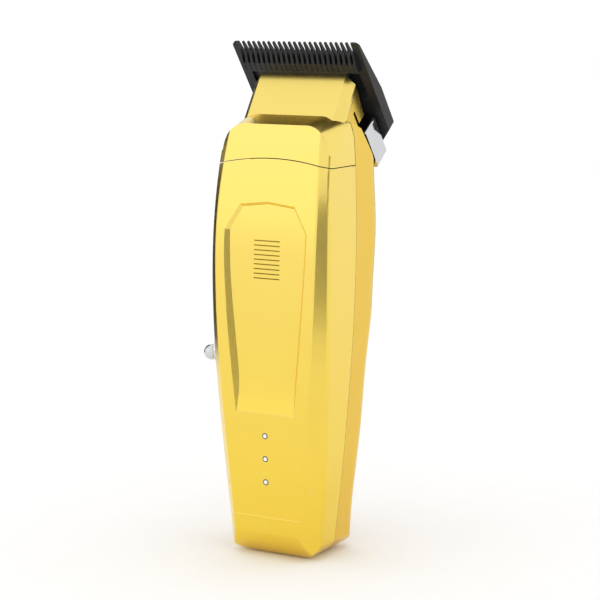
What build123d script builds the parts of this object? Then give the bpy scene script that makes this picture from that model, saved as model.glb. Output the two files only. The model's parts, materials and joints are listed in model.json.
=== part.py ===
from build123d import *
import math
import os

# Cordless hair clipper, in millimetres.
# X to the right as seen from the front, Y towards the back, Z up. The shapes are drawn with Y = 0
# near the front face, and save() moves them so that the origin is the centre of the flat base.

# ---- body stations: height, face half width, face Y, side half width, side Y, back Y
STATIONS = [
    (-4.0, 11.6, 1.6, 16.4, 7.4, 31.0),
    (12.0, 12.4, 1.0, 17.4, 6.9, 31.5),
    (30.0, 13.8, 0.2, 19.0, 5.9, 32.4),
    (48.0, 15.5, -0.3, 20.2, 4.6, 33.8),
    (62.0, 16.6, -0.6, 21.0, 3.8, 34.6),
    (78.0, 17.6, -0.8, 21.6, 3.3, 37.0),
    (92.0, 18.1, -0.6, 21.8, 3.2, 38.0),
    (104.0, 18.3, 0.0, 21.7, 3.6, 39.4),
    (116.0, 18.1, 1.5, 21.3, 4.5, 39.7),
    (130.0, 17.3, 4.3, 20.6, 6.6, 40.0),
    (146.0, 16.0, 9.6, 18.9, 13.4, 40.0),
]
FACE_EDGE_R = 0.9
SIDE_EDGE_R = 2.4
BACK_EDGE_R = 7.0
FACE_WALL = 3.6
FACE_WALL_SHARE = 0.8
WALL = 1.8
PART_GAP = 0.3

# ---- seams
SEAM_Y_AT_BASE = 16.0
SEAM_SLOPE = 0.047
CAP_SEAM_SIDE_Z = 127.3
CAP_SEAM_RISE = 2.9
CAP_SEAM_HALF = 22.0
CAP_REAR_Y = 21.8

SEAM_STEP_Y = 19.6
REGION_HALF = 40.0

# ---- shoulder round the top of the face
LEDGE_HALF = 19.4
LEDGE_TOP_Z = 140.4
LEDGE_CORNER_R = 8.2
LEDGE_Y = 6.6
LEDGE_SLOPE = 16.0

# ---- recess in the face: outline corners, floor line and wall slope
RECESS_FOOT = (10.6, 48.5)
RECESS_WAIST = (15.4, 107.2)
RECESS_SHOULDER = (10.9, 116.6)
RECESS_TOP_Z = 118.0
RECESS_MOUTH_Y = -1.6
RECESS_DRAFT = 42.0
RECESS_MARGIN = -RECESS_MOUTH_Y * math.tan(math.radians(RECESS_DRAFT))
RECESS_FLOOR = [
    (-0.45, 45.5), (0.05, 49.0), (0.95, 55.5), (1.2, 66.0),
    (1.0, 80.0), (1.05, 95.0), (1.7, 107.0), (3.2, 119.0),
]

# ---- head
HEAD_HALF = 18.5
HEAD_BEVEL = 2.8
HEAD_CORNER_R = 3.4
HEAD_TOP = (24.3, 155.6)
HEAD_FRONT_FOOT = (13.4, 139.0)
HEAD_REAR_FOOT = (33.8, 139.0)
HEAD_WALL = 1.5
RAIL_X = 15.65
RAIL_T = 1.9
CHEEK_SLOT_W = 1.3
CHEEK_SLOT_L = 13.5
CHEEK_SLOT_START = 21.5
CHEEK_SLOT_N = 7.6

# ---- blade frame: origin on the tooth tips, local y up the teeth, local z towards the head
TIP_Y = 18.2
TIP_Z = 166.0
BLADE_TILT = 37.8
BLADE_HALF = 23.25
BLADE_LENGTH = 41.0
BLADE_HEEL_T = 4.3
BLADE_TIP_T = 0.7
BLADE_TAPER_L = 21.5
BLADE_CORNER = 5.0
TOOTH_PITCH = 1.9
TOOTH_GAP = 0.95
TOOTH_DEPTH = 6.2
INNER_TEETH = 21
CUTTER_HALF = 20.9
CUTTER_SETBACK = 2.9
CUTTER_LENGTH = 19.0
CUTTER_T = 2.0
CUTTER_TOOTH_DEPTH = 4.4
BLADE_GAP = 0.05
BLADE_SCREW_X = 10.0
BLADE_SCREW_S = 33.0

# ---- carriage
CARRIAGE_HALF = 20.5
CARRIAGE_TOP = 29.5
CARRIAGE_END = 44.2
CARRIAGE_NEAR = 1.3
CARRIAGE_FAR = 9.0
SEAT_N = 9.6
SEAT_TOP = 26.5
CARRIAGE_TRAVEL = 1.7
ARM_X = -14.2
ARM_T = 2.0
CARRIAGE_SCREW_X = 5.8
CARRIAGE_SCREW_S = 39.0
CARRIAGE_SCREW_R = 1.5

# ---- lever
LEVER_Y = 27.0
LEVER_Z = 118.0
LEVER_SHAFT_R = 3.0
LEVER_X = -22.6
LEVER_T = 2.0
LEVER_BALL = (-26.7, 10.5, 64.4)
LEVER_BALL_R = 2.6
LEVER_SWING = 26.0
CAM_PIN_R = 1.2
CAM_OFFSET = CARRIAGE_TRAVEL / (2 * math.sin(math.radians(LEVER_SWING / 2)))

# ---- motor, battery, board
MOTOR_Y = 20.0
MOTOR_BOTTOM = 96.0
MOTOR_TOP = 124.0
MOTOR_R = 11.5
SHAFT_R = 1.0
CAM_PIN_OFFSET = 1.2
CAM_ROLLER_R = 1.5
FORK_HALF = 4.0
FORK_Z0 = 135.2
CELL_R = 9.1
CELL_BOTTOM = 20.0
CELL_TOP = 85.0
CELL_Y = 18.2
BOARD_Y = 4.9
BOARD_T = 1.2
LED_ZS = (25.7, 33.4, 41.0)
BUTTON_Y = 11.5
BUTTON_Z = 54.0
BASE_Y = 16.5
BASE_W = 21.0
BASE_D = 11.0
BUTTON_HOLE_R = 3.6
SOCKET_R = 1.8
SOCKET_DEPTH = 10.0
CASE_SCREWS = ((-12.9, 24.0), (12.9, 24.0), (-15.0, 91.0), (15.0, 91.0))


def blade_frame():
    """Local frame of the blade set."""
    tilt = math.radians(BLADE_TILT)
    normal = (0, -math.cos(tilt), -math.sin(tilt))
    return Plane(origin=(0, TIP_Y, TIP_Z), x_dir=(1, 0, 0), z_dir=normal)


BLADE = blade_frame()


def save(node, *solids):
    """Write one node, as a single solid or a group of separate solids."""
    flat = []
    for item in solids:
        moved = Pos(0, -BASE_Y, 0) * item
        flat.extend(moved.solids())
    shape = flat[0] if len(flat) == 1 else Compound(children=flat)
    shape.label = node
    export_step(shape, os.path.join("parts", node + ".step"))


def box(x0, x1, y0, y1, z0, z1):
    """Box from its limits."""
    size = Box(x1 - x0, y1 - y0, z1 - z0)
    return Pos((x0 + x1) / 2, (y0 + y1) / 2, (z0 + z1) / 2) * size


def rod_z(r, y, z0, z1, x=0.0):
    """Round bar along Z."""
    return Pos(x, y, (z0 + z1) / 2) * Cylinder(r, z1 - z0)


def rod_x(r, x0, x1, y, z):
    """Round bar along X."""
    return Pos((x0 + x1) / 2, y, z) * Rot(0, 90, 0) * Cylinder(r, x1 - x0)


def rod_y(r, x, y0, y1, z):
    """Round bar along Y."""
    return Pos(x, (y0 + y1) / 2, z) * Rot(90, 0, 0) * Cylinder(r, y1 - y0)


def side_prism(points, x0, x1):
    """Solid from an outline in the YZ plane, between two X values."""
    outline = Plane.YZ.offset(x0) * make_face(Polyline(*points, close=True))
    return extrude(outline, amount=x1 - x0, dir=(1, 0, 0))


def front_prism(face, y0, y1):
    """Solid from a face drawn in X and Z, between two Y values."""
    placed = Plane(origin=(0, y0, 0), x_dir=(1, 0, 0), z_dir=(0, -1, 0)) * face
    return extrude(placed, amount=y1 - y0, dir=(0, 1, 0))


def interpolate(z, column):
    """Value of one station column at a height."""
    for low, high in zip(STATIONS, STATIONS[1:]):
        if z <= high[0]:
            t = (z - low[0]) / (high[0] - low[0])
            return low[column] + t * (high[column] - low[column])
    return STATIONS[-1][column]


def inset_outline(points, walls):
    """Move each edge of a convex outline inwards by its own wall."""
    lines = []
    count = len(points)
    for i in range(count):
        ax, ay = points[i]
        bx, by = points[(i + 1) % count]
        length = math.hypot(bx - ax, by - ay)
        nx, ny = -(by - ay) / length, (bx - ax) / length
        lines.append((nx, ny, nx * ax + ny * ay + walls[i]))
    inner = []
    for i in range(count):
        a, b, c = lines[i - 1]
        d, e, f = lines[i]
        det = a * e - b * d
        inner.append(((c * e - b * f) / det, (a * f - c * d) / det))
    return inner


def section(station, inner=False):
    """Body section at one height: flat face, two bevels, two sides, rounded back."""
    z, face_half, face_y, side_half, side_y, back_y = station
    points = [
        (-face_half, face_y), (face_half, face_y), (side_half, side_y),
        (side_half, back_y), (-side_half, back_y), (-side_half, side_y),
    ]
    radii = [FACE_EDGE_R, FACE_EDGE_R, SIDE_EDGE_R, BACK_EDGE_R, BACK_EDGE_R, SIDE_EDGE_R]
    if inner:
        face_wall = min(FACE_WALL, FACE_WALL_SHARE * (side_y - face_y))
        points = inset_outline(points, [face_wall, WALL, WALL, WALL, WALL, WALL])
        radii = [0.3, 0.3, 0.6, BACK_EDGE_R - WALL, BACK_EDGE_R - WALL, 0.6]
    face = make_face(Polyline(*points, close=True))
    for point, radius in zip(points, radii):
        corner = face.vertices().sort_by_distance((point[0], point[1], 0))[0]
        face = fillet(corner, radius)
    return Pos(0, 0, z) * face


def body_loft(inner=False):
    """Body without its end shapes."""
    return loft([section(s, inner) for s in STATIONS])


def end_outline(margin):
    """Front view outline with the rounded base, as a face in X and Z."""
    half = 30.0
    low = margin
    corner = 8.5
    base_half = 17.6 - margin
    pts = [(-half, 200), (-half, 14 + low), (-base_half, 14 + low), (-base_half, low + corner)]
    left = Polyline(*pts)
    turn = ThreePointArc((-base_half, low + corner), (-base_half + 2.2, low + 2.9), (-base_half + 8, low))
    right = mirror(left, about=Plane.YZ)
    turn_right = mirror(turn, about=Plane.YZ)
    flat = Line((-base_half + 8, low), (base_half - 8, low))
    top = Line((-half, 200), (half, 200))
    return make_face(left + turn + flat + turn_right + right + top)


def side_outline(margin):
    """Side view outline with the rounded base and the sloping shoulder."""
    low = margin
    front = Line((-6, 150), (-6, 14 + low))
    step = Line((-6, 14 + low), (0.95 + margin, 14 + low))
    nose = ThreePointArc((0.95 + margin, 14 + low), (2.9 + margin, 4.6 + low), (8.5, low))
    flat = Line((8.5, low), (24, low))
    heel = ThreePointArc((24, low), (29.4 - margin, 2.6 + low), (31.6 - margin, 9 + low))
    back = Line((31.6 - margin, 9 + low), (45, 9 + low))
    rise = Line((45, 9 + low), (45, 138.6 - margin))
    top = Polyline((45, 138.6 - margin), (27.8, 138.6 - margin), (16, 142.8 - margin), (16, 150), (-6, 150))
    return make_face(front + step + nose + flat + heel + back + rise + top)


def ledge_tool(margin):
    """Block with a gentle slope behind it, that rounds the shoulder round the top of the face."""
    half = LEDGE_HALF - margin
    top = LEDGE_TOP_Z - margin
    r = LEDGE_CORNER_R
    cut = r * (1 - math.sqrt(0.5))
    left = Polyline((-24, -40), (-24, 122), (-half - 1.5, 130), (-half, top - r))
    arc = ThreePointArc((-half, top - r), (-half + cut, top - cut), (-half + r, top))
    lid = Line((-half + r, top), (half - r, top))
    base = Line((-24, -40), (24, -40))
    outline = make_face(left + arc + lid + mirror(arc, about=Plane.YZ) + mirror(left, about=Plane.YZ) + base)
    placed = Plane(origin=(0, LEDGE_Y, 0), x_dir=(1, 0, 0), z_dir=(0, -1, 0)) * outline
    grow = extrude(placed, amount=38, dir=(0, 1, 0), taper=-LEDGE_SLOPE)
    front = extrude(placed, amount=10, dir=(0, -1, 0))
    return grow + front


def blade_block(x0, x1, s0, s1, n0, n1):
    """Box in the blade frame: s runs down the blade from the tips, n towards the head."""
    return BLADE.location * box(x0, x1, -s1, -s0, n0, n1)


def head_wedge(margin):
    """Wedge head: front face with side bevels and rounded top corners."""
    ty, tz = HEAD_TOP
    tz -= margin * 1.9
    fy, fz = HEAD_FRONT_FOOT
    ry, rz = HEAD_REAR_FOOT
    half = HEAD_HALF - margin
    slope = math.atan2(HEAD_TOP[0] - fy, HEAD_TOP[1] - fz)
    shift = margin / math.cos(slope)
    outline = [
        (fy + shift, fz), (ty, tz), (ry, rz), (ry, rz - 8), (fy + shift - 3, rz - 8),
    ]
    solid = side_prism(outline, -half, half)
    run = 80.0
    for side in (-1, 1):
        knife = Pos(side * half, fy + shift, fz) * Rot(math.degrees(-slope), 0, 0)
        solid -= knife * Rot(0, 0, 45) * Box(HEAD_BEVEL * 2 ** 0.5, HEAD_BEVEL * 2 ** 0.5, run)
    rounding = RectangleRounded(2 * half, 60, HEAD_CORNER_R)
    return solid & front_prism(Pos(0, tz + 0.2 - 30) * rounding, 0, 60)


def body_solid(inner=False):
    """Whole body with its head, as the outer form or as the cavity."""
    margin = WALL if inner else 0.0
    body = body_loft(inner)
    body &= front_prism(end_outline(margin), -10, 60)
    body &= side_prism_face(side_outline(margin))
    body &= ledge_tool(margin)
    body += head_wedge(HEAD_WALL if inner else 0.0)
    return body


def side_prism_face(face):
    """Wide solid from a face drawn in Y and Z."""
    placed = Plane.YZ.offset(-30) * face
    return extrude(placed, amount=60, dir=(1, 0, 0))


def cap_region(grow):
    """Space that the head cap takes up, grown by a gap."""
    g = grow
    side = [
        (-20, 100), (CAP_REAR_Y + g, 100), (CAP_REAR_Y + g, 136.6), (19.9 + g, 141.6 + g),
        (26.4 + g, 151.5), (27.4 + g, 158), (27.4 + g, 175), (-20, 175),
    ]
    solid = side_prism(side, -30, 30)
    h = CAP_SEAM_HALF
    z0 = CAP_SEAM_SIDE_Z - g
    arch = ThreePointArc((-h, z0), (0, z0 + CAP_SEAM_RISE), (h, z0))
    above = Polyline((h, z0), (35, z0), (35, 180), (-35, 180), (-35, z0), (-h, z0))
    return solid & front_prism(make_face(arch + above), -30, 60)


def seam_y(z):
    """Y of the long side seam at a height."""
    return SEAM_Y_AT_BASE + SEAM_SLOPE * z


def front_region():
    """Space of the front shell: in front of the side seam, and below the cap behind the face."""
    g = PART_GAP / 4
    z1 = CAP_SEAM_SIDE_Z - PART_GAP
    outline = [
        (-REGION_HALF, -20), (seam_y(-20) - g, -20), (seam_y(z1) - g, z1),
        (SEAM_STEP_Y, z1), (SEAM_STEP_Y, 132), (-REGION_HALF, 132),
    ]
    return side_prism(outline, -REGION_HALF, REGION_HALF)


def rear_region():
    """Space of the rear shell: behind the side seam, and the head's cheeks above it."""
    g = PART_GAP / 4
    z1 = CAP_SEAM_SIDE_Z - PART_GAP + g
    step = SEAM_STEP_Y + 0.1
    outline = [(80, -20), (seam_y(-20) + g, -20), (seam_y(z1) + g, z1), (step, z1), (step, 175), (80, 175)]
    return side_prism(outline, -REGION_HALF, REGION_HALF)


def recess_tool():
    """Shallow six-sided recess: sloping walls and a floor that ramps out at the bottom."""
    right = [RECESS_FOOT, RECESS_WAIST, RECESS_SHOULDER]
    left = [(-x, z) for x, z in reversed(right)]
    face = make_face(Polyline(*right, (0, RECESS_TOP_Z), *left, close=True))
    face = offset(face, amount=RECESS_MARGIN, kind=Kind.INTERSECTION)
    placed = Plane(origin=(0, RECESS_MOUTH_Y, 0), x_dir=(1, 0, 0), z_dir=(0, -1, 0)) * face
    walls = extrude(placed, amount=5.4, dir=(0, 1, 0), taper=RECESS_DRAFT)
    curve = Spline(*RECESS_FLOOR)
    front = Polyline(RECESS_FLOOR[-1], (-8, RECESS_FLOOR[-1][1]), (-8, RECESS_FLOOR[0][1]), RECESS_FLOOR[0])
    return walls & side_prism_face(make_face(curve + front))


def seat_cut(n0):
    """Space behind the head that the carriage and blades use."""
    return blade_block(-40, 40, SEAT_TOP, 70, -60, n0)


def shells(cavity):
    """Head cap, front shell and rear shell."""
    outer = body_solid() - seat_cut(SEAT_N)
    opening_half = HEAD_HALF - HEAD_WALL
    opening = side_prism([(15.2, 139), (25.1, 154.1), (38, 138), (30, 136)], -opening_half, opening_half)
    shell = outer - cavity - opening
    cap = shell & cap_region(0)
    rest = shell - cap_region(PART_GAP)
    front = rest & front_region()
    rear = rest & rear_region()
    front -= recess_tool()
    for z in LED_ZS:
        front -= rod_y(1.05, 0, -5, 6, z)
    slot_end = CHEEK_SLOT_START + CHEEK_SLOT_L
    slot_far = CHEEK_SLOT_N + CHEEK_SLOT_W
    rear -= blade_block(HEAD_HALF - 4, HEAD_HALF + 2, CHEEK_SLOT_START, slot_end, CHEEK_SLOT_N, slot_far)
    rear -= blade_block(-HEAD_HALF - 2, -HEAD_HALF + 4, CHEEK_SLOT_START, slot_end, CHEEK_SLOT_N, slot_far)
    rear -= rod_x(LEVER_SHAFT_R + 0.06, -25, -16, LEVER_Y, LEVER_Z)
    front -= rod_x(BUTTON_HOLE_R, -25, -14, BUTTON_Y, BUTTON_Z)
    hole = base_hole()
    return cap, front - hole, rear - hole


def base_hole():
    """Oval hole for the base insert."""
    slot = Pos(0, BASE_Y, 3) * extrude(SlotOverall(BASE_W, BASE_D), amount=8, both=True)
    return slot


# ---- blade set, drawn in the blade frame and placed by BLADE

def tooth_gap(x, tip_w, depth, n0, n1):
    """Wedge-shaped gap between two teeth, with a round bottom."""
    half = TOOTH_GAP / 2
    pts = [(x - tip_w / 2, 2), (x - tip_w / 2, 0), (x - half, -depth + half), (x + half, -depth + half),
           (x + tip_w / 2, 0), (x + tip_w / 2, 2)]
    wedge = make_face(Polyline(*pts, close=True)) + Pos(x, -depth + half) * Circle(half)
    return extrude(Pos(0, 0, n0) * wedge, amount=n1 - n0)


def fixed_blade():
    """Fixed blade: tapered towards the tips, with angled heel corners and two wide corner teeth."""
    c = BLADE_CORNER
    w = BLADE_HALF
    length = BLADE_LENGTH
    face = make_face(Polyline(
        (-w, 0), (-w, -length + c), (-w + c * 0.8, -length), (w - c * 0.8, -length), (w, -length + c), (w, 0),
        close=True))
    corners = face.vertices().filter_by(lambda v: v.Y > -1)
    face = fillet(corners, 1.6)
    plate = extrude(Pos(0, 0, -BLADE_HEEL_T) * face, amount=BLADE_HEEL_T)
    t0, t1, run = BLADE_TIP_T, BLADE_HEEL_T, BLADE_TAPER_L
    profile = [
        (5, 2), (-length - 5, 2), (-length - 5, -t1 + 0.7), (-length + 6, -t1),
        (-run, -t1), (0, -t0), (5, -t0),
    ]
    plate &= side_prism(profile, -30, 30)
    hollow = side_prism([(-8.5, 1), (-8.5, -0.6), (-20.5, -1.6), (-23, 0), (-23, 1)], -w + 3.2, w - 3.2)
    plate -= hollow
    for i in range(INNER_TEETH + 1):
        x = (i - INNER_TEETH / 2) * TOOTH_PITCH
        plate -= tooth_gap(x, TOOTH_GAP + 0.35, TOOTH_DEPTH, -8, 2)
    for side in (-1, 1):
        plate -= Pos(side * BLADE_SCREW_X, -BLADE_SCREW_S, 0) * Cylinder(1.6, 20)
        plate -= Pos(side * BLADE_SCREW_X, -BLADE_SCREW_S, -BLADE_HEEL_T) * Cylinder(2.9, 3.6)
    return BLADE.location * plate


def moving_cutter():
    """Moving cutter: toothed front bar with fine ribs, and a thinner tail that the holder grips."""
    w = CUTTER_HALF
    s0 = CUTTER_SETBACK
    n0 = BLADE_GAP
    profile = [(-s0, n0), (-s0, n0 + 0.6), (-s0 - 4.2, n0 + CUTTER_T), (-10.2, n0 + CUTTER_T),
               (-10.8, n0 + 1.4), (-CUTTER_LENGTH, n0 + 1.4), (-CUTTER_LENGTH, n0)]
    bar = side_prism(profile, -w, w)
    for side in (-1, 1):
        bar -= box(side * 19.2 - 3, side * 19.2 + 3, -30, -11.0, -2, 6)
    count = int(2 * w / TOOTH_PITCH)
    for i in range(count):
        x = (i - (count - 1) / 2) * TOOTH_PITCH
        bar -= Pos(0, -s0, 0) * tooth_gap(x, TOOTH_GAP + 0.2, CUTTER_TOOTH_DEPTH, -2, 4)
        bar -= box(x - 0.25, x + 0.25, -10.0, -s0 - 3.8, n0 + CUTTER_T - 0.18, 6)
    return BLADE.location * bar


def cutter_holder():
    """Holder clipped on the cutter's tail, with the slotted fork that the cam pin drives."""
    n0 = BLADE_GAP + 1.4
    grip = BLADE.location * box(-13.5, 13.5, -24.0, -14.8, n0, n0 + 3.6)
    fork = side_prism([(25.6, 148.2), (28.5, 144.8), (25.4, 138.2), (25.4, FORK_Z0), (16.9, FORK_Z0),
                       (16.9, FORK_Z0 + 2.6), (20.6, 142.0)], -FORK_HALF, FORK_HALF)
    slot = box(-CAM_ROLLER_R - 0.06, CAM_ROLLER_R + 0.06, 17.8, 24.4, FORK_Z0 - 1, FORK_Z0 + 3.4)
    lead = side_prism([(17.6, 138.3), (24.4, 138.3), (24.4, 139.6), (19.6, 139.6)], -1.6, 1.6)
    return grip + (fork - slot - lead)


def tension_spring():
    """Flat spring that presses the cutter holder on the fixed blade."""
    bar = BLADE.location * box(-12.5, 12.5, -22.0, -15.8, 5.5, 5.9)
    window_half = FORK_HALF + CAM_PIN_OFFSET + 0.5
    window = BLADE.location * box(-window_half, window_half, -30, -17.8, 5, 7)
    legs = []
    for side in (-1, 1):
        legs.append(BLADE.location * box(side * 11.5 - 1, side * 11.5 + 1, -27.0, -17.0, 5.9, 6.3))
    return (bar - window) + legs[0] + legs[1]


def blade_carriage():
    """Polished carriage block: pad for the blade, two screw slots and the arm that the lever cam moves."""
    half = CARRIAGE_HALF
    outline = make_face(Polyline((-half, -CARRIAGE_TOP), (half, -CARRIAGE_TOP), (half, -CARRIAGE_END),
                                 (-half, -CARRIAGE_END), close=True))
    outline = fillet(outline.vertices(), 0.8)
    block = extrude(Pos(0, 0, CARRIAGE_NEAR) * outline, amount=CARRIAGE_FAR - CARRIAGE_NEAR)
    block -= box(-half + 1.6, half - 1.6, -CARRIAGE_END + 1.8, -CARRIAGE_TOP - 1.8, CARRIAGE_NEAR + 3.2, 12)
    block += box(-14, 14, -37.5, -31, 0, CARRIAGE_NEAR)
    for side in (-1, 1):
        x = side * CARRIAGE_SCREW_X
        slot = SlotCenterToCenter(CARRIAGE_TRAVEL + 0.3, 2 * CARRIAGE_SCREW_R + 0.3, rotation=90)
        s = CARRIAGE_SCREW_S - CARRIAGE_TRAVEL / 2
        block -= extrude(Pos(x, -s, -2) * slot, amount=12)
        head = SlotCenterToCenter(CARRIAGE_TRAVEL + 0.3, 6.2, rotation=90)
        block -= extrude(Pos(x, -s, -2) * head, amount=2 + CARRIAGE_NEAR + 2.2)
        block -= Pos(side * BLADE_SCREW_X, -BLADE_SCREW_S, 2) * Cylinder(1.35, 8)
    block = BLADE.location * block
    arm_outline = [
        (34.9, 140.4), (27.4, 136.4), (21.5, 124.0), (20.8, 112.6),
        (26.0, 112.6), (28.8, 124.0), (31.5, 132.0), (37.1, 137.6),
    ]
    arm = side_prism(arm_outline, ARM_X, ARM_X + ARM_T)
    y, z = cam_pin_centre()
    slot = Pos(-13, y, z) * Rot(BLADE_TILT - 90, 0, 0) * Rot(0, 90, 0) * extrude(
        SlotCenterToCenter(1.4, 2 * CAM_PIN_R + 0.5), amount=8, both=True)
    arm -= slot
    return block + arm


def cam_pin_centre():
    """Centre of the lever's cam pin at rest, in Y and Z."""
    tilt = math.radians(BLADE_TILT)
    start = math.radians(-LEVER_SWING / 2)
    down = (math.sin(tilt), -math.cos(tilt))
    toward = (-math.cos(tilt), -math.sin(tilt))
    y = LEVER_Y + CAM_OFFSET * (math.cos(start) * toward[0] + math.sin(start) * down[0])
    z = LEVER_Z + CAM_OFFSET * (math.cos(start) * toward[1] + math.sin(start) * down[1])
    return y, z


def blade_screws():
    """Two countersunk screws that hold the fixed blade on the carriage."""
    solids = []
    for side in (-1, 1):
        base = Pos(side * BLADE_SCREW_X, -BLADE_SCREW_S, 0)
        screw = base * Pos(0, 0, 1.25) * Cylinder(1.3, 7.6)
        screw += base * Pos(0, 0, -3.3) * Cylinder(2.7, 1.6)
        screw -= base * Pos(0, 0, -4.2) * Box(3.6, 0.7, 0.9)
        screw -= base * Pos(0, 0, -4.2) * Box(0.7, 3.6, 0.9)
        solids.append(BLADE.location * screw)
    return solids


def carriage_screws():
    """Two shoulder screws that the carriage slides along."""
    solids = []
    for side in (-1, 1):
        base = Pos(side * CARRIAGE_SCREW_X, -CARRIAGE_SCREW_S, 0)
        top = CARRIAGE_NEAR + 2.1
        screw = base * Pos(0, 0, (top + 12.5) / 2) * Cylinder(CARRIAGE_SCREW_R, 12.5 - top)
        screw += base * Pos(0, 0, top - 0.8) * Cylinder(2.8, 1.6)
        screw -= base * Pos(0, 0, top - 1.6) * Box(3.4, 0.7, 1.0)
        solids.append(BLADE.location * screw)
    return solids


def head_frame(cavity):
    """Black inner frame: sloping deck under the carriage and two side rails that line the head."""
    deck = box(-16.4, 16.4, -45.6, -28.5, SEAT_N + 0.25, SEAT_N + 2.4)
    deck -= box(-14.8, -11.6, -41.0, -27.5, 5, 15)
    deck -= box(-5.2, 5.2, -33.0, -20, 5, 15)
    for side in (-1, 1):
        deck -= Pos(side * CARRIAGE_SCREW_X, -CARRIAGE_SCREW_S, 10) * Cylinder(CARRIAGE_SCREW_R, 12)
    frame = BLADE.location * deck
    rail_outline = [
        (25.2, 150.4), (22.9, 149.4), (17.6, 140.4), (20.4, 134.0), (27.6, 134.0), (29.6, 139.9),
    ]
    for side in (-1, 1):
        frame += side_prism(rail_outline, side * RAIL_X - RAIL_T / 2, side * RAIL_X + RAIL_T / 2)
    return frame & (cavity + side_prism([(15.4, 139), (25.0, 153.6), (36, 139), (30, 136)], -16.9, 16.9))


# ---- taper lever

def taper_lever():
    """Lever arm: round hub, tapering blade and a boss that the ball screws into."""
    by, bz = LEVER_BALL[1], LEVER_BALL[2]
    hub = Plane.YZ.offset(LEVER_X - LEVER_T) * Pos(LEVER_Y, LEVER_Z) * Circle(6.2)
    front_edge = [(LEVER_Y - 5.6, LEVER_Z - 2.4), (LEVER_Y - 9.0, LEVER_Z - 22), (by + 0.4, bz + 15)]
    tip = [(by - 2.6, bz + 1.0), (by - 1.4, bz - 2.8), (by + 1.6, bz - 2.8), (by + 3.2, bz + 1.0)]
    rear_edge = [(by + 7.6, bz + 15), (LEVER_Y - 1.6, LEVER_Z - 22), (LEVER_Y + 4.8, LEVER_Z - 3.6)]
    arm = Plane.YZ.offset(LEVER_X - LEVER_T) * make_face(Polyline(*front_edge, *tip, *rear_edge, close=True))
    arm = fillet(arm.vertices().filter_by(lambda v: v.Z < LEVER_Z - 10), 1.1)
    plate = extrude(hub, amount=LEVER_T, dir=(1, 0, 0)) + extrude(arm, amount=LEVER_T, dir=(1, 0, 0))
    plate -= rod_x(3.4, LEVER_X - LEVER_T - 1, LEVER_X - LEVER_T + 0.9, LEVER_Y, LEVER_Z)
    plate -= rod_x(1.15, -30, -15, LEVER_Y, LEVER_Z)
    return plate


def lever_ball():
    """Ball tip on a short stem that stands on the lower end of the arm."""
    x, y, z = LEVER_BALL
    ball = Pos(x, y, z) * Rot(0, 90, 0) * Sphere(LEVER_BALL_R)
    stem = rod_x(1.5, x, LEVER_X - LEVER_T, y, z)
    return ball + stem - box(LEVER_X - LEVER_T, -10, y - 5, y + 5, z - 6, z + 6)


def lever_shaft():
    """Shaft through the shell with the cam disc and its offset pin at the inner end."""
    shaft = rod_x(LEVER_SHAFT_R, LEVER_X, -17.4, LEVER_Y, LEVER_Z)
    disc = rod_x(5.0, -18.8, -17.0, LEVER_Y, LEVER_Z)
    y, z = cam_pin_centre()
    pin = rod_x(CAM_PIN_R, -17.2, -12.0, y, z)
    return shaft + disc + pin - rod_x(1.15, -30, -18.2, LEVER_Y, LEVER_Z)


def lever_screw():
    """Pan-head screw in the middle of the lever hub."""
    x0 = LEVER_X - LEVER_T
    screw = rod_x(1.1, x0 + 0.8, -18.3, LEVER_Y, LEVER_Z) + rod_x(3.1, x0 - 0.7, x0 + 0.9, LEVER_Y, LEVER_Z)
    screw -= box(x0 - 1, x0 - 0.1, LEVER_Y - 2, LEVER_Y + 2, LEVER_Z - 0.35, LEVER_Z + 0.35)
    return screw - box(x0 - 1, x0 - 0.1, LEVER_Y - 0.35, LEVER_Y + 0.35, LEVER_Z - 2, LEVER_Z + 2)


def lever_washer():
    """Friction washer between the lever hub and the shell."""
    disc = rod_x(5.4, LEVER_X + 0.05, LEVER_X + 0.75, LEVER_Y, LEVER_Z)
    return disc - rod_x(LEVER_SHAFT_R + 0.1, -30, -15, LEVER_Y, LEVER_Z)


# ---- motor and cam

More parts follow.
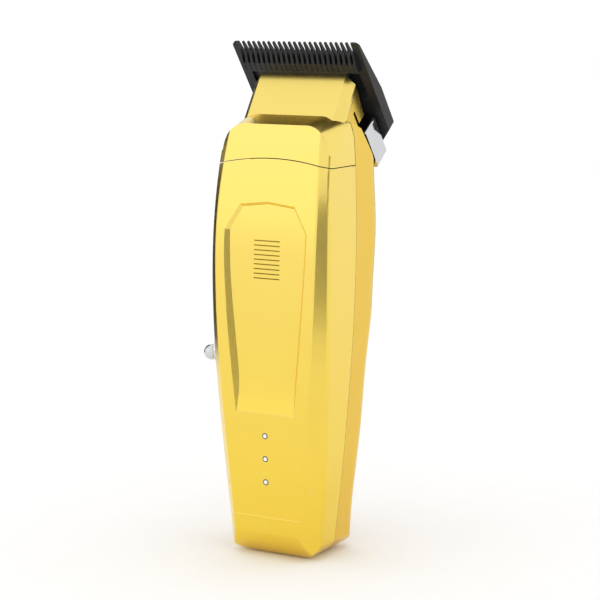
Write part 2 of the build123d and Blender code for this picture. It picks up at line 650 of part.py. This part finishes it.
def motor_parts():
    """Motor pieces, keyed by node name."""
    y, r = MOTOR_Y, MOTOR_R
    can = rod_z(r, y, MOTOR_BOTTOM, MOTOR_TOP) - rod_z(r - 0.8, y, MOTOR_BOTTOM - 1, MOTOR_TOP - 1.2)
    can -= rod_z(3.0, y, MOTOR_TOP - 3, MOTOR_TOP + 1)
    bell = rod_z(r, y, MOTOR_BOTTOM - 2.4, MOTOR_BOTTOM) - rod_z(3.0, y, 80, 130)
    core = rod_z(r - 0.85, y, MOTOR_BOTTOM + 5, MOTOR_TOP - 6) - rod_z(r - 2.6, y, 80, 130)
    coils = []
    for i in range(6):
        place = Pos(0, y, 0) * Rot(0, 0, 60 * i)
        core += place * box(-1.0, 1.0, 6.5, r - 2.4, MOTOR_BOTTOM + 5, MOTOR_TOP - 6)
        core += place * box(-1.9, 1.9, 6.2, 6.9, MOTOR_BOTTOM + 5, MOTOR_TOP - 6)
        coil = box(-1.9, 1.9, 7.0, 8.4, MOTOR_BOTTOM + 4, MOTOR_TOP - 5)
        coil -= box(-1.05, 1.05, 6, 9, MOTOR_BOTTOM + 4.9, MOTOR_TOP - 5.9)
        coils.append(place * coil)
    shaft = rod_z(SHAFT_R, y, MOTOR_BOTTOM - 3.5, MOTOR_TOP + 5.2)
    magnet = rod_z(5.8, y, MOTOR_BOTTOM + 4.5, MOTOR_TOP - 5.5) - rod_z(SHAFT_R, y, 80, 140)
    bearing_bore = SHAFT_R + 0.03
    low = rod_z(3.0, y, MOTOR_BOTTOM - 2.4, MOTOR_BOTTOM) - rod_z(bearing_bore, y, 80, 140)
    high = rod_z(3.0, y, MOTOR_TOP - 1.2, MOTOR_TOP + 0.6) - rod_z(bearing_bore, y, 80, 140)
    cam = rod_z(3.6, y, MOTOR_TOP + 2.4, MOTOR_TOP + 7.0) - rod_z(SHAFT_R, y, 80, MOTOR_TOP + 5.2)
    pin = rod_z(0.9, y + CAM_PIN_OFFSET, MOTOR_TOP + 6.9, FORK_Z0 - 0.3)
    roller = rod_z(CAM_ROLLER_R, y + CAM_PIN_OFFSET, MOTOR_TOP + 7.3, FORK_Z0 - 0.5)
    roller -= rod_z(0.9, y + CAM_PIN_OFFSET, 120, 150)
    return {
        "motor_can": [can], "motor_end_bell": [bell], "stator_core": [core], "stator_windings": coils,
        "rotor_shaft": [shaft], "rotor_magnet": [magnet], "motor_bearings": [low, high],
        "eccentric_cam": [cam + pin], "cam_roller": [roller],
    }


def motor_mount():
    """Plate that the motor hangs from."""
    z0 = MOTOR_TOP
    plate = box(-17.5, 17.5, MOTOR_Y - 12.0, MOTOR_Y + 12.5, z0 + 0.02, z0 + 1.6)
    plate -= rod_z(4.2, MOTOR_Y, z0 - 2, z0 + 4)
    plate -= box(-15.0, -11.6, 17, 40, z0 - 2, z0 + 4)
    for x in (-7.0, 7.0):
        plate -= rod_z(0.8, MOTOR_Y - 2, z0 - 2, z0 + 4, x)
    return plate


def motor_screws():
    """Two small screws through the mount plate into the motor can."""
    z0 = MOTOR_TOP + 1.6
    solids = []
    for x in (-7.0, 7.0):
        solids.append(rod_z(0.78, MOTOR_Y - 2, z0 - 1.5, z0, x) + rod_z(1.5, MOTOR_Y - 2, z0, z0 + 0.9, x))
    return solids


# ---- battery, board, button, base

def battery_parts():
    """Cell with its end caps, and the cradle that holds it."""
    cell = rod_z(CELL_R, CELL_Y, CELL_BOTTOM, CELL_TOP)
    cap = rod_z(3.0, CELL_Y, CELL_TOP, CELL_TOP + 1.2)
    cradle = rod_z(CELL_R + 1.0, CELL_Y, CELL_BOTTOM - 1.6, CELL_TOP + 2.8)
    cradle -= rod_z(CELL_R, CELL_Y, CELL_BOTTOM, CELL_TOP + 1.2)
    cradle -= box(-6.8, 6.8, CELL_Y + 2, CELL_Y + 15, CELL_BOTTOM + 6, CELL_TOP - 6)
    cradle -= box(-6.8, 6.8, CELL_Y - 15, CELL_Y - 8.2, CELL_BOTTOM - 5, CELL_TOP + 5)
    return cell, cap, cradle


def circuit_board():
    """Circuit board with a few parts soldered on its back."""
    board = box(-8.5, 8.5, BOARD_Y, BOARD_Y + BOARD_T, 16.5, 70.0)
    for x, z, w, h in ((-3, 60, 5, 5), (4, 52, 3, 4), (-4, 47, 2, 3), (3, 30, 4, 3)):
        board += box(x - w / 2, x + w / 2, BOARD_Y + BOARD_T, BOARD_Y + BOARD_T + 0.9, z, z + h)
    return board


def indicator_parts():
    """Indicator chips, lenses and bezels on the centre line."""
    chips, lenses, bezels = [], [], []
    for z in LED_ZS:
        front = interpolate(z, 2)
        chips.append(box(-0.7, 0.7, BOARD_Y - 0.7, BOARD_Y, z - 0.5, z + 0.5))
        lenses.append(rod_y(0.62, 0, front - 0.1, BOARD_Y - 0.8, z))
        bezels.append(rod_y(1.0, 0, front - 0.05, front + 2.2, z) - rod_y(0.64, 0, -5, 8, z))
    return chips, lenses, bezels


def power_button():
    """Domed push button in the left side."""
    body = rod_x(BUTTON_HOLE_R - 0.12, -21.2, -17.6, BUTTON_Y, BUTTON_Z)
    dome = Pos(-21.2 + 9.0, BUTTON_Y, BUTTON_Z) * Sphere(9.9)
    flange = rod_x(4.4, -17.9, -17.1, BUTTON_Y, BUTTON_Z)
    stem = rod_x(1.2, -17.2, -15.3, BUTTON_Y, BUTTON_Z)
    return (body & dome) + flange + stem


def switch_parts():
    """Tactile switch and the small board that it sits on."""
    switch = box(-14.5, -12.1, BUTTON_Y - 2.6, BUTTON_Y + 2.6, BUTTON_Z - 2.6, BUTTON_Z + 2.6)
    board = box(-12.1, -11.3, BUTTON_Y - 4.4, BUTTON_Y - 0.4, BUTTON_Z - 7, BUTTON_Z + 7)
    return switch, board


def base_parts():
    """Base insert, charging socket and contacts."""
    slot = extrude(Pos(0, BASE_Y, 0) * SlotOverall(BASE_W - 0.2, BASE_D - 0.2), amount=3.6)
    lip = extrude(Pos(0, BASE_Y, 3.1) * SlotOverall(BASE_W + 1.0, BASE_D + 2.4), amount=1.4)
    insert = slot + lip
    rim = extrude(Pos(0, BASE_Y, 0) * SlotOverall(BASE_W - 2.6, BASE_D - 2.6), amount=0.5)
    insert = insert - rim
    insert += rod_z(3.4, BASE_Y, 0, 3.6)
    insert -= rod_z(2.6, BASE_Y, -1, 8)
    contacts = []
    for x in (-6.6, 6.6):
        insert -= rod_z(1.4, BASE_Y, -1, 8, x)
        contacts.append(rod_z(1.35, BASE_Y, 0.2, 4.6, x))
    socket = rod_z(2.55, BASE_Y, 0.0, 12.0) - rod_z(SOCKET_R, BASE_Y, -1, SOCKET_DEPTH)
    return insert, socket, contacts


def case_screws(rear):
    """Four countersunk case screws in the back. Returns the drilled shell and the screws."""
    screws = []
    for x, z in CASE_SCREWS:
        back = interpolate(z, 5)
        rear += rod_y(2.4, x, back - 4.7, back - 1.7, z)
        rear -= rod_y(1.6, x, back - 6, back + 4, z)
        rear -= rod_y(2.9, x, back - 2.0, back + 6, z)
        screw = rod_y(1.4, x, back - 11, back - 2.0, z) + rod_y(2.6, x, back - 2.0, back - 1.0, z)
        screw -= box(x - 1.7, x + 1.7, back - 1.5, back + 1, z - 0.3, z + 0.3)
        screw -= box(x - 0.3, x + 0.3, back - 1.5, back + 1, z - 1.7, z + 1.7)
        screws.append(screw)
    return rear, screws


def screw_posts(front):
    """Posts inside the front shell that the case screws thread into."""
    for x, z in CASE_SCREWS:
        back = interpolate(z, 5)
        post = rod_y(2.6, x, interpolate(z, 2) + 2.2, back - 4.9, z)
        front += post - rod_y(1.4, x, back - 11.2, back + 4, z)
    return front


def main():
    """Build every node and write it."""
    os.makedirs("parts", exist_ok=True)
    cavity = body_solid(inner=True)
    cap, front, rear = shells(cavity)
    rear, screws = case_screws(rear)
    front = screw_posts(front)
    save("head_cap", cap)
    save("front_shell", front)
    save("rear_shell", rear)
    save("case_screws", *screws)
    save("fixed_blade", fixed_blade())
    save("moving_cutter", moving_cutter())
    save("cutter_holder", cutter_holder())
    save("cutter_tension_spring", tension_spring())
    save("blade_carriage", blade_carriage())
    save("blade_screws", *blade_screws())
    save("carriage_screws", *carriage_screws())
    save("head_frame", head_frame(cavity))
    save("taper_lever", taper_lever())
    save("lever_ball", lever_ball())
    save("lever_shaft", lever_shaft())
    save("lever_screw", lever_screw())
    save("lever_washer", lever_washer())
    for node, solids in motor_parts().items():
        save(node, *solids)
    save("motor_mount", motor_mount())
    save("motor_screws", *motor_screws())
    cell, cell_cap, cradle = battery_parts()
    save("battery_cell", cell)
    save("battery_terminal", cell_cap)
    save("battery_cradle", cradle)
    save("circuit_board", circuit_board())
    chips, lenses, bezels = indicator_parts()
    save("indicator_chips", *chips)
    for name, lens, bezel in zip(("low", "middle", "top"), lenses, bezels):
        save("indicator_lens_" + name, lens)
        save("indicator_bezel_" + name, bezel)
    save("power_button", power_button())
    switch, switch_board = switch_parts()
    save("tactile_switch", switch)
    save("switch_board", switch_board)
    insert, socket, contacts = base_parts()
    save("base_insert", insert)
    save("charging_socket", socket)
    save("charging_contacts", *contacts)


if __name__ == "__main__":
    main()
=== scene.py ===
import json
import math

import bmesh
import bpy
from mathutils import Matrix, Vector
from mathutils.bvhtree import BVHTree


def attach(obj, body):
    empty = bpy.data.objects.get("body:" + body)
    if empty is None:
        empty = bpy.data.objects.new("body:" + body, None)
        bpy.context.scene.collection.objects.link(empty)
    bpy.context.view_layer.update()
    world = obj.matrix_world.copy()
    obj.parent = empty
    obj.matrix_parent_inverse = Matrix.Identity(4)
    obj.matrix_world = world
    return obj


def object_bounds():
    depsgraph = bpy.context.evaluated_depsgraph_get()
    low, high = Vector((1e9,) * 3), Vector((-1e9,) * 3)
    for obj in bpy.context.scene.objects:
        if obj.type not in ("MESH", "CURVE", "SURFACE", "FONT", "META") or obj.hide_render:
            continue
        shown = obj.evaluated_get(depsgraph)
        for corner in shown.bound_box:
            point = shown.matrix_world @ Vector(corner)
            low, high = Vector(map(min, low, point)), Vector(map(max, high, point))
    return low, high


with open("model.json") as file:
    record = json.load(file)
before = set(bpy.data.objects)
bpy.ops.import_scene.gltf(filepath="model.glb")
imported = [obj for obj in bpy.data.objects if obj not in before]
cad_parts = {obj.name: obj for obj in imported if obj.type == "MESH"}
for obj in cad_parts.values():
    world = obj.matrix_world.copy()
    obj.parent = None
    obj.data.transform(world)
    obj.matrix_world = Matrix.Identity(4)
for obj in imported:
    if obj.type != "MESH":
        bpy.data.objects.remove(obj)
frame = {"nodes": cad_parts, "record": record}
CAD_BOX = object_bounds()
MM = 0.001
NODES = frame["nodes"]
FLOOR_Z = CAD_BOX[0][2]

# Noise stretch along x, y and z. A small number draws the grain out along that axis.
EVEN = (1, 1, 1)
BRUSHED = (1.0, 1.0, 0.04)

# Painted edge highlight, a lighter colour on sharp edges: bevel radius in metres, then the cosines
# between the two normals where the painted highlight is full and where it ends.
EDGE_HIGHLIGHT_GOLD = (0.00022, 0.90, 0.995)
EDGE_HIGHLIGHT_BLADE = (0.00012, 0.80, 0.99)
EDGE_HIGHLIGHT_FINE = (0.00015, 0.85, 0.99)
EDGE_HIGHLIGHT_PLASTIC = (0.0002, 0.85, 0.99)
BEVEL_SAMPLES = 4

# Shared by every finish
CLOUD_SCALE = 45.0
CLOUD_DETAIL = 4.0
CLOUD_ROUGH = 0.6
GRAIN_DETAIL = 5.0
GRAIN_ROUGH = 0.65
MICRO_RATIO = 2.3
MICRO_DETAIL = 2.0
MICRO_SHARE = 0.5
GRAIN_DEPTH = 0.00002
MICRO_DEPTH = 0.00001
# Heights in metres over which a finish turns paler towards the top: painted highlight.
PAINTED_HIGHLIGHT_LOW_Z = 0.02
PAINTED_HIGHLIGHT_HIGH_Z = 0.145

# Hairlines in the recess
LINE_COUNT = 9
LINE_LOW = 92.0 * MM
LINE_PITCH = 1.5 * MM
LINE_HALF = 4.6 * MM
LINE_WIDTH = 0.36 * MM
LINE_PROUD = 0.012 * MM
LINE_END_POINTS = 7
LINE_END_STEP = 30
RAY_START_Y = -0.1

# Studio
CAMERA_LENS = 117.4
CAMERA_SENSOR = 36.0
CAMERA_SHIFT = (0.0115, -0.0059)
CAMERA_PLACE = (0.315, -0.5441, 0.182)
CAMERA_AIM = (0.0, 0.0015, 0.084)
CAMERA_CLIP = 0.01
WORLD_STRENGTH = 1.06
FLOOR_HALF = 6.0
FLOOR_GAP = 0.0002
FLOOR_COLORS = ((0.955, 0.955, 0.955), (0.965, 0.965, 0.965))
FLOOR_ROUGH = 0.7
FLAG_HEIGHT = 0.40
FLAG_ROUGH = 0.9
FLAG_WEAVE = 1.1


# ---- materials

def new_material(name):
    """Material with a Principled shader, and its node tree."""
    material = bpy.data.materials.new(name)
    material.use_nodes = True
    tree = material.node_tree
    return material, tree, tree.nodes["Principled BSDF"]


def noise(tree, scale, stretch=EVEN, detail=3.0, rough=0.5):
    """Noise in object space, stretched along the axes."""
    coords = tree.nodes.new("ShaderNodeTexCoord")
    mapping = tree.nodes.new("ShaderNodeMapping")
    mapping.inputs["Scale"].default_value = [scale * s for s in stretch]
    texture = tree.nodes.new("ShaderNodeTexNoise")
    texture.inputs["Scale"].default_value = 1.0
    texture.inputs["Detail"].default_value = detail
    texture.inputs["Roughness"].default_value = rough
    tree.links.new(coords.outputs["Object"], mapping.inputs["Vector"])
    tree.links.new(mapping.outputs["Vector"], texture.inputs["Vector"])
    return texture.outputs["Fac"]


def spread(tree, source, low, high, start=0.3, end=0.7):
    """Map values from start to end onto low to high."""
    node = tree.nodes.new("ShaderNodeMapRange")
    node.inputs["From Min"].default_value = start
    node.inputs["From Max"].default_value = end
    node.inputs["To Min"].default_value = low
    node.inputs["To Max"].default_value = high
    tree.links.new(source, node.inputs["Value"])
    return node.outputs["Result"]


def mix_colors(tree, factor, first, second):
    """Blend two colours by a factor socket. Each colour is a tuple or a socket."""
    node = tree.nodes.new("ShaderNodeMix")
    node.data_type = "RGBA"
    tree.links.new(factor, node.inputs[0])
    for socket, value in ((node.inputs[6], first), (node.inputs[7], second)):
        if isinstance(value, tuple):
            socket.default_value = (*value, 1.0)
        else:
            tree.links.new(value, socket)
    return node.outputs[2]


def painted_edge_highlight(tree, radius, full, none):
    """Painted edge highlight mask: 1 at a sharp edge and 0 on a flat face. Near an edge the bevelled normal
    leans from the true one.
    """
    bevel = tree.nodes.new("ShaderNodeBevel")
    bevel.samples = BEVEL_SAMPLES
    bevel.inputs["Radius"].default_value = radius
    geometry = tree.nodes.new("ShaderNodeNewGeometry")
    dot = tree.nodes.new("ShaderNodeVectorMath")
    dot.operation = "DOT_PRODUCT"
    tree.links.new(bevel.outputs["Normal"], dot.inputs[0])
    tree.links.new(geometry.outputs["Normal"], dot.inputs[1])
    return spread(tree, dot.outputs["Value"], 1.0, 0.0, full, none)


def add_bump(tree, shader, heights):
    """Chain of bumps: each item is a height socket, a strength and a distance."""
    normal = None
    for height, strength, distance in heights:
        bump = tree.nodes.new("ShaderNodeBump")
        bump.inputs["Strength"].default_value = strength
        bump.inputs["Distance"].default_value = distance
        tree.links.new(height, bump.inputs["Height"])
        if normal is not None:
            tree.links.new(normal, bump.inputs["Normal"])
        normal = bump.outputs["Normal"]
    tree.links.new(normal, shader.inputs["Normal"])


def painted_highlight_fade(tree, low, high):
    """Painted highlight mask: 0 to 1 between two heights on the object."""
    coords = tree.nodes.new("ShaderNodeTexCoord")
    split = tree.nodes.new("ShaderNodeSeparateXYZ")
    tree.links.new(coords.outputs["Object"], split.inputs["Vector"])
    return spread(tree, split.outputs["Z"], 0.0, 1.0, low, high)


def surface(name, base, tone, metallic, rough, grain, stretch, bump, edge_highlight=None, edge_highlight_color=None, painted_top_highlight=None,
            specular=0.5):
    """Procedural finish: cloudy colour, uneven roughness, stretched grain. A painted edge highlight and a
    painted highlight towards the top are optional.
    """
    material, tree, shader = new_material(name)
    clouds = noise(tree, CLOUD_SCALE, EVEN, CLOUD_DETAIL, CLOUD_ROUGH)
    color = mix_colors(tree, spread(tree, clouds, 0.0, 1.0), base, tone)
    # Paler colour towards the top of the object: painted highlight.
    if painted_top_highlight is not None:
        color = mix_colors(tree, painted_highlight_fade(tree, PAINTED_HIGHLIGHT_LOW_Z, PAINTED_HIGHLIGHT_HIGH_Z), color, painted_top_highlight)
    # Lighter colour on sharp edges: painted edge highlight.
    if edge_highlight is not None:
        color = mix_colors(tree, painted_edge_highlight(tree, *edge_highlight), color, edge_highlight_color)
    tree.links.new(color, shader.inputs["Base Color"])
    shader.inputs["Metallic"].default_value = metallic
    fine = noise(tree, grain, stretch, GRAIN_DETAIL, GRAIN_ROUGH)
    tree.links.new(spread(tree, fine, *rough), shader.inputs["Roughness"])
    shader.inputs["Specular IOR Level"].default_value = specular
    micro = noise(tree, grain * MICRO_RATIO, EVEN, MICRO_DETAIL)
    add_bump(tree, shader, [(fine, bump, GRAIN_DEPTH), (micro, bump * MICRO_SHARE, MICRO_DEPTH)])
    return material


def lens_material():
    """White lens with a clear coat and a faint cloudiness."""
    material, tree, shader = new_material("lens_white")
    cloud = noise(tree, 900.0)
    color = mix_colors(tree, spread(tree, cloud, 0, 1), (0.90, 0.92, 0.93), (0.98, 0.99, 1.0))
    tree.links.new(color, shader.inputs["Base Color"])
    tree.links.new(spread(tree, cloud, 0.12, 0.22), shader.inputs["Roughness"])
    shader.inputs["Coat Weight"].default_value = 0.6
    add_bump(tree, shader, [(cloud, 0.1, MICRO_DEPTH)])
    return material


# In each finish below, the lighter colour given for sharp edges is a painted edge highlight.
LIGHT_GOLD = surface(
    "light_gold_satin", base=(0.91, 0.655, 0.085), tone=(0.885, 0.625, 0.075), metallic=1.0,
    rough=(0.20, 0.27), grain=5200.0, stretch=BRUSHED, bump=0.10, edge_highlight=EDGE_HIGHLIGHT_GOLD,
    edge_highlight_color=(0.96, 0.80, 0.30), painted_top_highlight=(0.90, 0.70, 0.185))
# Darker copy of the same gold for the deep_gold slot: painted shade where the surface turns away from the light.
SHADED_GOLD_COPY = surface(
    "gold_satin_painted_shade", base=(0.82, 0.53, 0.055), tone=(0.79, 0.50, 0.050), metallic=1.0, rough=(0.22, 0.30),
    grain=5200.0, stretch=BRUSHED, bump=0.10, edge_highlight=EDGE_HIGHLIGHT_GOLD, edge_highlight_color=(0.93, 0.72, 0.22),
    painted_top_highlight=(0.83, 0.575, 0.085))
BLACK_BLADE = surface(
    "blade_black_coating", base=(0.008, 0.008, 0.009), tone=(0.013, 0.013, 0.014), metallic=0.0,
    rough=(0.42, 0.56), grain=3000.0, stretch=(0.25, 1.0, 1.0), bump=0.25, edge_highlight=EDGE_HIGHLIGHT_BLADE,
    edge_highlight_color=(0.05, 0.05, 0.053), specular=0.35)
CUTTER_BLACK = surface(
    "cutter_black_coating", base=(0.010, 0.010, 0.011), tone=(0.016, 0.016, 0.017), metallic=0.0,
    rough=(0.40, 0.52), grain=3400.0, stretch=(1.0, 1.0, 0.1), bump=0.25, edge_highlight=EDGE_HIGHLIGHT_BLADE,
    edge_highlight_color=(0.06, 0.06, 0.062), specular=0.35)
CHROME = surface(
    "polished_chrome", base=(0.60, 0.615, 0.63), tone=(0.66, 0.67, 0.685), metallic=1.0, rough=(0.08, 0.15),
    grain=2600.0, stretch=(1.0, 0.08, 1.0), bump=0.05, edge_highlight=EDGE_HIGHLIGHT_FINE, edge_highlight_color=(0.90, 0.91, 0.93))
BLACK_PLASTIC = surface(
    "moulded_black_plastic", base=(0.014, 0.014, 0.015), tone=(0.020, 0.020, 0.021), metallic=0.0,
    rough=(0.46, 0.62), grain=2400.0, stretch=EVEN, bump=0.35, edge_highlight=EDGE_HIGHLIGHT_PLASTIC,
    edge_highlight_color=(0.05, 0.05, 0.052))
STEEL = surface(
    "ground_steel", base=(0.56, 0.57, 0.58), tone=(0.63, 0.64, 0.65), metallic=1.0, rough=(0.22, 0.34),
    grain=3600.0, stretch=(0.08, 1.0, 1.0), bump=0.25)
DARK_SCREW = surface(
    "black_oxide_screw", base=(0.045, 0.045, 0.048), tone=(0.07, 0.07, 0.073), metallic=0.8,
    rough=(0.30, 0.45), grain=3200.0, stretch=EVEN, bump=0.3, edge_highlight=EDGE_HIGHLIGHT_FINE,
    edge_highlight_color=(0.24, 0.24, 0.25))
NYLON = surface(
    "natural_nylon", base=(0.74, 0.73, 0.68), tone=(0.80, 0.79, 0.74), metallic=0.0, rough=(0.40, 0.52),
    grain=2400.0, stretch=EVEN, bump=0.3)
MOTOR_SILVER = surface(
    "turned_aluminium", base=(0.60, 0.61, 0.63), tone=(0.68, 0.69, 0.70), metallic=1.0, rough=(0.26, 0.38),
    grain=3600.0, stretch=BRUSHED, bump=0.25)
MAGNET = surface(
    "nickel_magnet", base=(0.30, 0.30, 0.31), tone=(0.38, 0.38, 0.39), metallic=1.0, rough=(0.18, 0.28),
    grain=2600.0, stretch=EVEN, bump=0.15)
COPPER = surface(
    "bare_copper", base=(0.72, 0.33, 0.16), tone=(0.80, 0.42, 0.22), metallic=1.0, rough=(0.22, 0.34),
    grain=3600.0, stretch=BRUSHED, bump=0.3)
CELL_WRAP = surface(
    "cell_shrink_wrap", base=(0.03, 0.12, 0.34), tone=(0.04, 0.15, 0.40), metallic=0.0, rough=(0.18, 0.30),
    grain=900.0, stretch=EVEN, bump=0.3)
BOARD = surface(
    "solder_mask", base=(0.012, 0.11, 0.035), tone=(0.02, 0.16, 0.05), metallic=0.0, rough=(0.22, 0.36),
    grain=1800.0, stretch=EVEN, bump=0.3)
BEZEL = surface(
    "bezel_grey", base=(0.20, 0.185, 0.14), tone=(0.28, 0.26, 0.21), metallic=1.0, rough=(0.22, 0.34),
    grain=3000.0, stretch=EVEN, bump=0.2)
BUTTON_GOLD = surface(
    "button_gold", base=(0.90, 0.63, 0.10), tone=(0.85, 0.58, 0.085), metallic=1.0, rough=(0.18, 0.27),
    grain=3600.0, stretch=(1.0, 1.0, 0.2), bump=0.12, edge_highlight=EDGE_HIGHLIGHT_GOLD, edge_highlight_color=(0.96, 0.78, 0.30))
LENS = lens_material()
ENGRAVING = surface(
    "engraved_oxide", base=(0.19, 0.125, 0.012), tone=(0.27, 0.18, 0.02), metallic=1.0, rough=(0.36, 0.48),
    grain=4200.0, stretch=EVEN, bump=0.2)

# The deep_gold slot gets the darker copy of the gold, which is painted shade.
FINISHES = {
    "light_gold": LIGHT_GOLD, "deep_gold": SHADED_GOLD_COPY, "black_blade": BLACK_BLADE, "chrome": CHROME,
    "black_plastic": BLACK_PLASTIC, "steel": STEEL, "dark_screw": DARK_SCREW, "nylon": NYLON,
    "motor_silver": MOTOR_SILVER, "magnet": MAGNET, "copper": COPPER, "cell_wrap": CELL_WRAP,
    "board_green": BOARD, "lens_white": LENS, "bezel_grey": BEZEL, "switch_black": BLACK_PLASTIC,
    "button_gold": BUTTON_GOLD,
}


def dress_cad_nodes():
    """Give each CAD node the finish of its slot. The moving cutter has a finish of its own."""
    slots = {part["node"]: part["material_slot"] for part in frame["record"]["subparts"]}
    for name, piece in NODES.items():
        material = CUTTER_BLACK if name == "moving_cutter" else FINISHES[slots[name]]
        piece.data.materials.clear()
        piece.data.materials.append(material)


# ---- pieces added to the CAD

def add_object(name, mesh, material):
    """Object in the scene for a mesh, with its material."""
    mesh.materials.append(material)
    piece = bpy.data.objects.new(name, mesh)
    bpy.context.scene.collection.objects.link(piece)
    return piece


def recess_lines():
    """Stack of fine dark lines that follows the recess floor. Each is a flat strip with round ends."""
    tree = BVHTree.FromObject(NODES["front_shell"], bpy.context.evaluated_depsgraph_get())
    shape = bmesh.new()
    for index in range(LINE_COUNT):
        z = LINE_LOW + index * LINE_PITCH
        points = []
        for side, first_turn in ((1, -90), (-1, 90)):
            for step in range(LINE_END_POINTS):
                turn = math.radians(first_turn + LINE_END_STEP * step)
                x = side * LINE_HALF + LINE_WIDTH / 2 * math.cos(turn)
                height = z + LINE_WIDTH / 2 * math.sin(turn)
                place = tree.ray_cast(Vector((x, RAY_START_Y, height)), Vector((0, 1, 0)))[0]
                points.append(shape.verts.new((x, place.y - LINE_PROUD, height)))
        shape.faces.new(points)
    mesh = bpy.data.meshes.new("recess_lines")
    bmesh.ops.recalc_face_normals(shape, faces=shape.faces)
    shape.to_mesh(mesh)
    shape.free()
    lines = add_object("recess_lines", mesh, ENGRAVING)
    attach(lines, "case")


# ---- studio

def aim_at(thing, place, target):
    """Put a camera or a light at a place, looking at a target."""
    thing.location = place
    aim = Vector(target) - Vector(place)
    thing.rotation_euler = aim.to_track_quat("-Z", "Y").to_euler()


def add_camera():
    """Camera at the photograph's viewing angle."""
    data = bpy.data.cameras.new("camera")
    data.lens = CAMERA_LENS
    data.sensor_width = CAMERA_SENSOR
    data.clip_start = CAMERA_CLIP
    data.shift_x, data.shift_y = CAMERA_SHIFT
    camera = bpy.data.objects.new("camera", data)
    bpy.context.scene.collection.objects.link(camera)
    aim_at(camera, CAMERA_PLACE, CAMERA_AIM)
    bpy.context.scene.camera = camera


def add_area(name, place, target, size, radiance):
    """Soft area light aimed at a point, by its brightness per area."""
    data = bpy.data.lights.new(name, "AREA")
    data.shape = "RECTANGLE"
    data.size, data.size_y = size
    data.energy = radiance * math.pi * size[0] * size[1]
    light = bpy.data.objects.new(name, data)
    bpy.context.scene.collection.objects.link(light)
    aim_at(light, place, target)
    light.visible_camera = False


def add_floor():
    """Plain pale floor with a faint variation in its colour."""
    material, tree, shader = new_material("studio_floor")
    grain = noise(tree, 60.0, detail=2.0)
    color = mix_colors(tree, spread(tree, grain, 0, 1), *FLOOR_COLORS)
    tree.links.new(color, shader.inputs["Base Color"])
    shader.inputs["Roughness"].default_value = FLOOR_ROUGH
    shader.inputs["Specular IOR Level"].default_value = 0.0
    mesh = bpy.data.meshes.new("floor")
    low = FLOOR_Z - FLOOR_GAP
    corners = [(x * FLOOR_HALF, y * FLOOR_HALF, low) for x, y in ((-1, -1), (1, -1), (1, 1), (-1, 1))]
    mesh.from_pydata(corners, [], [(0, 1, 2, 3)])
    floor = add_object("floor", mesh, material)


def add_flag(name, centre, width, height, shade):
    """Grey studio flag that faces the object and shows only in reflections."""
    material, tree, shader = new_material(name)
    cloth = noise(tree, 300.0, detail=2.0)
    color = mix_colors(tree, spread(tree, cloth, 0, 1), (shade,) * 3, (shade * FLAG_WEAVE,) * 3)
    tree.links.new(color, shader.inputs["Base Color"])
    shader.inputs["Roughness"].default_value = FLAG_ROUGH
    x, y = centre
    length = math.hypot(x, y)
    side = Vector((-y / length, x / length, 0)) * (width / 2)
    foot = Vector((x, y, FLOOR_Z))
    rise = Vector((0, 0, height))
    mesh = bpy.data.meshes.new(name)
    mesh.from_pydata([foot - side, foot + side, foot + side + rise, foot - side + rise], [], [(0, 1, 2, 3)])
    flag = add_object(name, mesh, material)
    flag.visible_camera = False
    flag.visible_diffuse = False
    flag.visible_shadow = False


def add_world():
    """Even white surroundings."""
    world = bpy.data.worlds.new("studio")
    world.use_nodes = True
    bpy.context.scene.world = world
    background = world.node_tree.nodes["Background"]
    background.inputs["Color"].default_value = (1.0, 1.0, 1.0, 1.0)
    background.inputs["Strength"].default_value = WORLD_STRENGTH


dress_cad_nodes()
recess_lines()

bpy.context.scene.view_settings.view_transform = "Standard"
add_camera()
add_floor()
add_world()
add_area("key", place=(-0.55, -0.75, 0.45), target=(0, 0, 0.09), size=(0.6, 0.7), radiance=0.22)
add_area("top", place=(0.0, -0.45, 0.95), target=(0, 0, 0.1), size=(0.7, 0.5), radiance=0.10)
add_flag("flag_right", centre=(0.34, -0.16), width=0.12, height=FLAG_HEIGHT, shade=0.25)
add_flag("flag_left", centre=(-0.30, 0.14), width=0.24, height=FLAG_HEIGHT, shade=0.02)
add_flag("flag_back", centre=(-0.14, 0.42), width=0.30, height=FLAG_HEIGHT, shade=0.45)
